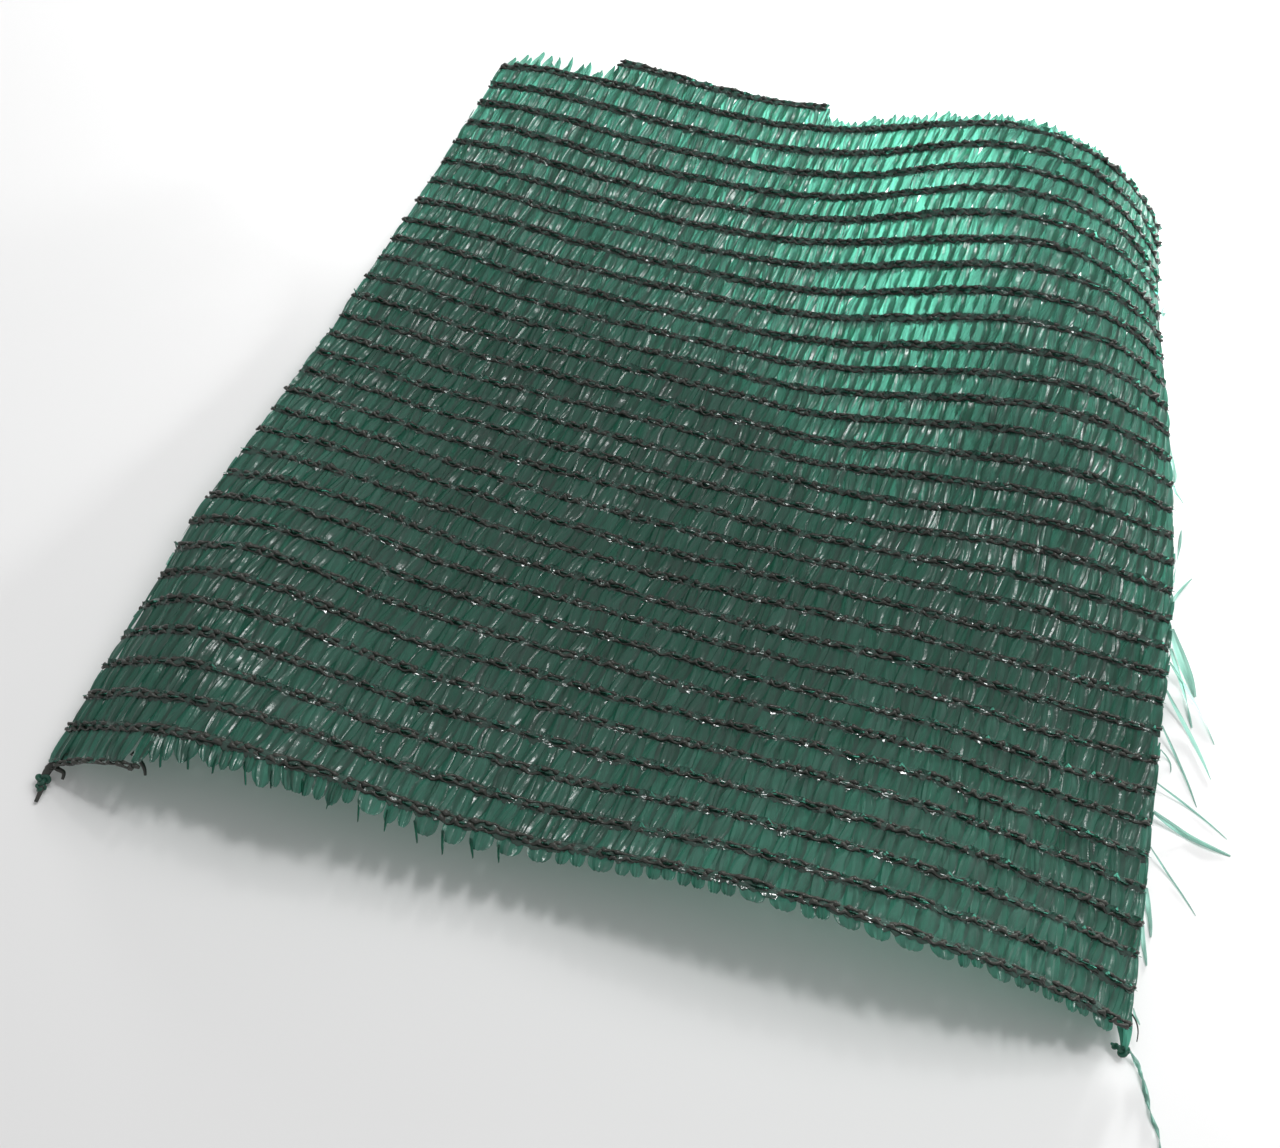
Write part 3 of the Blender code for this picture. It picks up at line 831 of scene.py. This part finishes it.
def free_legs(stitches, root, side, reach, half, lean, profile, curl):
    """Ribbons that leave a chain at row root: row = root + side reach v, stitch = start + lean v.

    v runs from 0 at the root to 1 at the tip. Half width is half times the profile, and the height
    falls from under the chain by curl times v squared. side is 1 towards the far edge, -1 towards
    the near one.
    """
    v = np.linspace(0, 1, FREE_LINES)[None, :, None]
    stitches, reach, half, lean, curl = (
        np.broadcast_to(a, len(stitches))[:, None, None] for a in (stitches, reach, half, lean, curl)
    )
    width = half * np.array(profile)[None, :, None]
    columns = np.linspace(-1, 1, TAPE_COLUMNS)[None, None, :]
    pleats = zigzag * free_chance.uniform(*FREE_PLEATS, (len(stitches), 1, TAPE_COLUMNS))
    height = TAPE_LIFT + FREE_BULGE * np.sin(np.pi * v) + PLEAT * pleats
    height = height - CROWN * columns**2 - curl * v**2
    tip = reach * v * (1 - TIP_ROUND * columns**2 * v)
    return on_net(stitches + lean * v + width * columns, root + side * tip, np.maximum(height, 0))


def legs_of(stitches, root, side, reach, half, lean, profile, shrink=0.0, curl=0.0):
    """Free legs at these stitches, each with its own reach, half width and lean between two limits.

    The reach shrinks by this share of itself for each stitch past the torn ones.
    """
    reach, half, lean = (free_chance.uniform(*limits, len(stitches)) for limits in (reach, half, lean))
    reach = reach * (1 - shrink * np.maximum(stitches - TORN_STITCH, 0))
    return free_legs(stitches, root, side, reach, half, lean, profile, curl)


def free_piece(name, side, batches, material):
    """Several batches of free legs as one mesh, each leg with a shade of its own."""
    legs = [legs_of(stitches, root, side, *facts) for stitches, root, *facts in batches]
    points = np.concatenate(legs)
    shade = free_chance.uniform(*FREE_SHADES, (len(points), 1, 1))
    return ribbon_piece(name, points, shade, None, material)


print("free legs have", FREE_LINES, "lines of", TAPE_COLUMNS, "points")

# %% Loops and torn legs of the near edge
FIRST_LOOP, FIRST_HAIR, TORN_STEP = NEAR_STEP + 0.5, NEAR_STEP + 0.4, 0.42
LOOPS_END, LOOP_SHIFT, HAIRS_END = 38.4, 0.25, 18.0
SPLIT_SHARE, SPLIT_LEFT, SPLIT_RIGHT = 0.35, -0.20, 0.22
NEAR_ROOT, TAIL_ROOT = 0.05, -0.35
SHRINK = 0.016
loop_stitches = np.arange(FIRST_LOOP, LOOPS_END, 1.0) + LOOP_SHIFT
whole = loop_stitches[loop_stitches > TORN_STITCH]
split = free_chance.uniform(0, 1, whole.size) < SPLIT_SHARE
torn = np.arange(NEAR_STEP + STEP_GAP, TORN_STITCH, TORN_STEP)
hairs = np.arange(FIRST_HAIR, HAIRS_END, 1.0)
split_left, split_right = whole[split] + SPLIT_LEFT, whole[split] + SPLIT_RIGHT
near_legs = (  # stitches, root row, limits of reach, half width and lean, profile, shrink, curl
    (whole[~split], NEAR_ROOT, (0.68, 0.82), (0.40, 0.46), (0.0, 0.14), ROUND_TIP, SHRINK),
    (split_left, NEAR_ROOT, (0.66, 0.82), (0.22, 0.27), (0.0, 0.06), ROUND_TIP, SHRINK),
    (split_right, NEAR_ROOT, (0.60, 0.76), (0.22, 0.27), (0.05, 0.1), ROUND_TIP, SHRINK),
    (torn, NEAR_ROOT, (0.65, 1.0), (0.20, 0.38), (0.05, 0.4), TORN_TIP, 0.0, 0.1 * MM),
    (hairs, TAIL_ROOT, (0.45, 0.75), (0.04, 0.07), (0.1, 0.4), HAIR_TIP, 0.0, 0.2 * MM),
)
near_loops = free_piece("near_loops", -1, near_legs, net_tape)
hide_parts("near_loops_1", "near_loops_2", "near_loops_3")

# %% Tufts of the far edge
FAR_ROOT = FULL_FAR_ROW - 0.05
TUFT_STEP, TUFTS_START, TUFTS_END = 0.3, 4.8, 38.5
far_left = np.arange(TUFTS_START, FAR_STEPS[0] - STEP_GAP, TUFT_STEP)
far_right = np.arange(FAR_STEPS[1] + STEP_GAP, TUFTS_END, TUFT_STEP)
far_left_legs = (far_left, FAR_ROOT, (0.45, 1.0), (0.13, 0.20), (-0.05, 0.4), CUT_TIP)
far_right_legs = (far_right, FAR_ROOT, (0.45, 0.75), (0.17, 0.25), (0.0, 0.3), CUT_TIP)
# The tufts wear the lighter film, whose colour holds painted backlight.
far_left_tufts = free_piece("far_left_tape_tufts", 1, [far_left_legs], tuft_tape_painted_light)
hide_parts("far_left_tufts")
far_right_tufts = free_piece("far_right_tape_tufts", 1, [far_right_legs], tuft_tape_painted_light)
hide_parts("far_right_tufts_1", "far_right_tufts_2", "far_right_tufts_3")

# %% [markdown]
# ## Loose ends of the side edges
# Scissors across the rows cut every leg, and some tape pulled out of the right edge. The ends leave
# the edge, come down to the paper within a few millimetres and lie on it, except the short ones,
# which stay up. A table gives each one's row, how far it runs out and towards the far side, its bow,
# its width and its half turns. Each is a film carried along its own path: narrow where it is pinched
# in the net, widest in the middle, and creased. A film that twists turns its cross line as it goes.

# %% Loose ends
END_SEED = 14
RIGHT_ENDS = (  # row, out mm, towards the far side mm, bow mm, width mm, half turns
    (0.5, 0.8, -0.8, 0.1, 0.22, 0.0),
    (3.1, 0.9, -2.9, 0.1, 0.35, 0.0),
    (4.1, 0.9, -3.5, 0.2, 0.40, 0.0),
    (5.3, 4.1, -4.4, 0.2, 0.18, 0.0),
    (6.4, 6.5, -1.7, -0.2, 0.55, 0.0),
    (7.3, 6.1, -3.0, 0.3, 0.22, 0.0),
    (8.4, 1.2, -1.5, 0.5, 0.14, 0.0),
    (9.2, 3.5, -6.3, 0.3, 0.24, 0.0),
    (10.5, 4.4, -6.9, 0.3, 0.34, 0.5),
    (11.5, 4.5, -6.3, 0.5, 0.30, 1.0),
    (12.0, 2.6, -6.6, 0.3, 0.45, 1.0),
    (12.7, 2.8, -5.4, 0.3, 0.85, 0.0),
    (13.6, 2.0, 4.4, 0.2, 0.28, 0.0),
    (14.3, 0.9, 7.6, -0.2, 0.40, 1.0),
    (18.7, 2.0, -2.1, 0.2, 0.28, 0.0),
    (19.6, 1.4, -2.6, 0.5, 0.55, 0.0),
    (25.5, 0.9, 0.9, 0.1, 0.80, 0.0),
    (25.7, 0.9, 1.9, -0.2, 0.20, 0.0),
)
END_LINES = 16
END_COLUMNS = 5
END_DOWN = 0.625
END_REST = 0.06 * MM
END_FALL = 0.7
END_LIFT = 0.5 * MM
NARROW_ROOT, NARROW_TIP = 0.12, 0.04
SWAY, SWAY_SPEEDS = 0.25, (3, 9)
CREASE = 0.35
end_chance = np.random.default_rng(END_SEED)


def end_paths(table, side):
    """Middle line of each loose end: root + run v + bow sin(pi v) square to the run.

    Its height falls as (1 - v / END_DOWN) squared, to the paper or by END_FALL of its length.
    """
    rows, out, forward, bow = (np.array(column) for column in list(zip(*table))[:4])
    root = on_net(side_cut(rows, side), rows, END_LIFT)
    v = np.linspace(0, 1, END_LINES)[None, :, None]
    run = np.stack([out, forward], axis=-1) * MM
    length = np.linalg.norm(run, axis=1)[:, None]
    square = np.stack([-run[:, 1], run[:, 0]], axis=-1) / length
    path = np.repeat(root[:, None], END_LINES, axis=1)
    bow = (bow * MM)[:, None, None] * np.sin(np.pi * v)
    path[..., :2] += run[:, None] * v + square[:, None] * bow
    rest = np.maximum(END_REST, root[:, 2:] - END_FALL * length)
    fall = np.clip(1 - v[..., 0] / END_DOWN, 0, 1) ** 2
    path[..., 2] = rest + (path[..., 2] - rest) * fall
    return path


def films(paths, width, half_turns):
    """Films along paths: each cross line is half width times u, turned about the path by pi turns v.

    The half width is a sine, to the power 0.6, with narrow ends, and the middle column is lifted by
    a lengthwise crease. Where the cross line stands up, the film is raised so that it stays on the
    paper. The angle sways a little as well, at a speed of the film's own.
    """
    v = np.linspace(0, 1, paths.shape[1])[None, :, None]
    columns = np.linspace(-1, 1, END_COLUMNS)[None, None, :]
    width, half_turns = (np.reshape(a, (-1, 1, 1)) for a in (width, half_turns))
    opening = np.sin(np.pi * (NARROW_ROOT + (1 - NARROW_ROOT - NARROW_TIP) * v))
    half = 0.5 * width * MM * opening**0.6
    sway = SWAY * np.sin(end_chance.uniform(*SWAY_SPEEDS, half_turns.shape) * v)
    angle = np.pi * half_turns * v + sway
    along = np.gradient(paths[..., :2], axis=1)
    square = np.stack([-along[..., 1], along[..., 0]], axis=-1)
    square /= np.linalg.norm(square, axis=-1, keepdims=True)
    points = np.repeat(paths[:, :, None], END_COLUMNS, axis=2)
    points[..., :2] += square[:, :, None] * (half * np.cos(angle) * columns)[..., None]
    crease = CREASE * half * (1 - abs(columns))
    points[..., 2] += half * np.sin(angle) * columns + half * abs(np.sin(angle)) + crease
    return points


*_, end_widths, end_turns = zip(*RIGHT_ENDS)
side_films = films(end_paths(RIGHT_ENDS, RIGHT), end_widths, end_turns)
print("loose ends:", len(side_films))

# %% [markdown]
# ## The knotted corner
# At the near right corner a strip of the cut tape runs out of the net, is tied in a small knot, and
# goes on as a twisted thread. The knot is a tube along a trefoil, the simplest real knot: a sum of
# two sines for each direction of the plan, and a third that lifts the tube over itself. The neck and
# the thread are films through a few listed places, two films each, and those of the thread are
# wound round each other. Two smaller knots, run together, end the frayed near left corner.

# %% Knotted corner
NECK = ((38.3, -37.0, 1.2), (38.6, -38.8, 1.1), (38.8, -40.0, 0.9), (38.9, -41.2, 0.6))  # mm
NECK_WIDTHS, NECK_TURNS = (0.95, 0.8), (0.4, -0.3)
NECK_APART = np.array([0.25, 0, 0.1]) * MM
CORNER_SHADE = 0.8
THREAD = (  # mm
    (39.1, -40.9, 0.7),
    (39.6, -41.1, 0.4),
    (40.1, -41.7, 0.2),
    (40.7, -42.9, 0.06),
    (41.2, -44.6, 0.06),
    (41.9, -46.0, 0.06),
    (42.2, -47.6, 0.06),
)
THREAD_WIDTHS, THREAD_TURNS = (0.42, 0.30), (4.0, -5.0)
END_SHADES = (0.3, 1)
KNOTS = (  # place in mm, then size in mm
    ((38.8, -41.0, 0.65), 0.150),
    ((38.2, -40.8, 0.60), 0.085),
    ((-45.3, -44.3, 0.65), 0.165),
    ((-45.2, -44.9, 0.50), 0.120),
)
KNOT_STEPS, KNOT_SIDES = 48, 7
KNOT_SHAPE = (1.0, 0.8, 1.0)
TUBE_SHARE = 1.05


def smooth_path(places, count):
    """Spline through places in mm, as count points in metres."""
    knots = np.linspace(0, 1, len(places))
    return spline(knots, np.array(places), np.linspace(0, 1, count)) * MM


def trefoil(place, size):
    """x = sin a + 2 sin 2a, y = cos a - 2 cos 2a, z = -sin 3a, with a once round."""
    a = np.linspace(0, TWO_PI, KNOT_STEPS)
    x, y, z = np.sin(a) + 2 * np.sin(2 * a), np.cos(a) - 2 * np.cos(2 * a), -np.sin(3 * a)
    return (np.array(place) + size * np.stack([x, y, z], axis=1) * KNOT_SHAPE) * MM


thread_path = smooth_path(THREAD, END_LINES)
thread_films = films(np.stack([thread_path, thread_path]), THREAD_WIDTHS, THREAD_TURNS)
right_points = np.concatenate([thread_films, side_films])
right_shade = end_chance.uniform(*END_SHADES, (len(right_points), 1, 1))
right_ends = ribbon_piece("right_tape_ends", right_points, right_shade, None, loose_tape)
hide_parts("right_cut_ends")

neck_path = smooth_path(NECK, END_LINES)
neck_films = films(np.stack([neck_path, neck_path - NECK_APART]), NECK_WIDTHS, NECK_TURNS)
neck = ribbon_piece("corner_neck", neck_films, CORNER_SHADE, None, net_tape)
paths = [trefoil(place, size) for place, size in KNOTS]
radii = [TUBE_SHARE * size * MM for _, size in KNOTS]
knots = tube_piece("corner_knots", paths, radii, KNOT_SIDES, net_tape, CORNER_SHADE)

# %% [markdown]
# ## Filament ends
# The chains' cut filaments show in three places: at the near left corner, where they are frayed into
# a tip, as small hooks and hairs at the two steps, and as one hair by the knotted corner. They are
# tubes that thin towards their tips.

# %% Filament ends
FILAMENT_ENDS = (  # places in mm, then the root's radius in mm
    (((-43.0, -42.1, 2.2), (-44.4, -42.6, 1.4), (-45.3, -43.5, 0.8), (-45.2, -44.7, 0.5)), 0.42),
    (((-44.6, -42.6, 1.2), (-45.2, -43.6, 0.7), (-45.1, -44.9, 0.5), (-45.1, -46.0, 0.2)), 0.32),
    (((-44.9, -43.0, 1.0), (-44.4, -43.3, 1.1), (-43.9, -43.4, 1.0), (-43.8, -43.9, 0.8)), 0.25),
    (((-38.6, -41.2, 3.4), (-37.9, -41.5, 3.0), (-37.4, -41.9, 2.7), (-37.2, -42.3, 2.4)), 0.22),
    (((38.6, -38.0, 1.3), (39.3, -38.6, 1.2), (39.7, -39.3, 0.9), (39.8, -40.0, 0.5)), 0.08),
)
TIP_SHARE, END_SIDES = 0.5, 6
end_lines = [smooth_path(places, END_LINES) for places, _ in FILAMENT_ENDS]
end_radii = [np.linspace(1, TIP_SHARE, END_LINES) * radius * MM for _, radius in FILAMENT_ENDS]
left_ends = tube_piece("filament_ends", end_lines, end_radii, END_SIDES, filament)
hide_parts("left_tip_ends")

# %% [markdown]
# The tape net was cut flat and laid down. Its flat size is the stitches and rows times their pitch,
# and its cut isn't a rectangle, so the area is the sum over the rows.

row_lengths = [row_ends(chain)[1] - row_ends(chain)[0] for chain in CHAINS]
flat_area = sum(row_lengths) * STITCH * ROW
flat_size = (max(row_lengths) * STITCH, (len(row_lengths) - 1) * ROW)
print("flat size in mm:", [round(x / MM, 1) for x in flat_size])
print("flat area in square mm:", round(flat_area / MM**2))
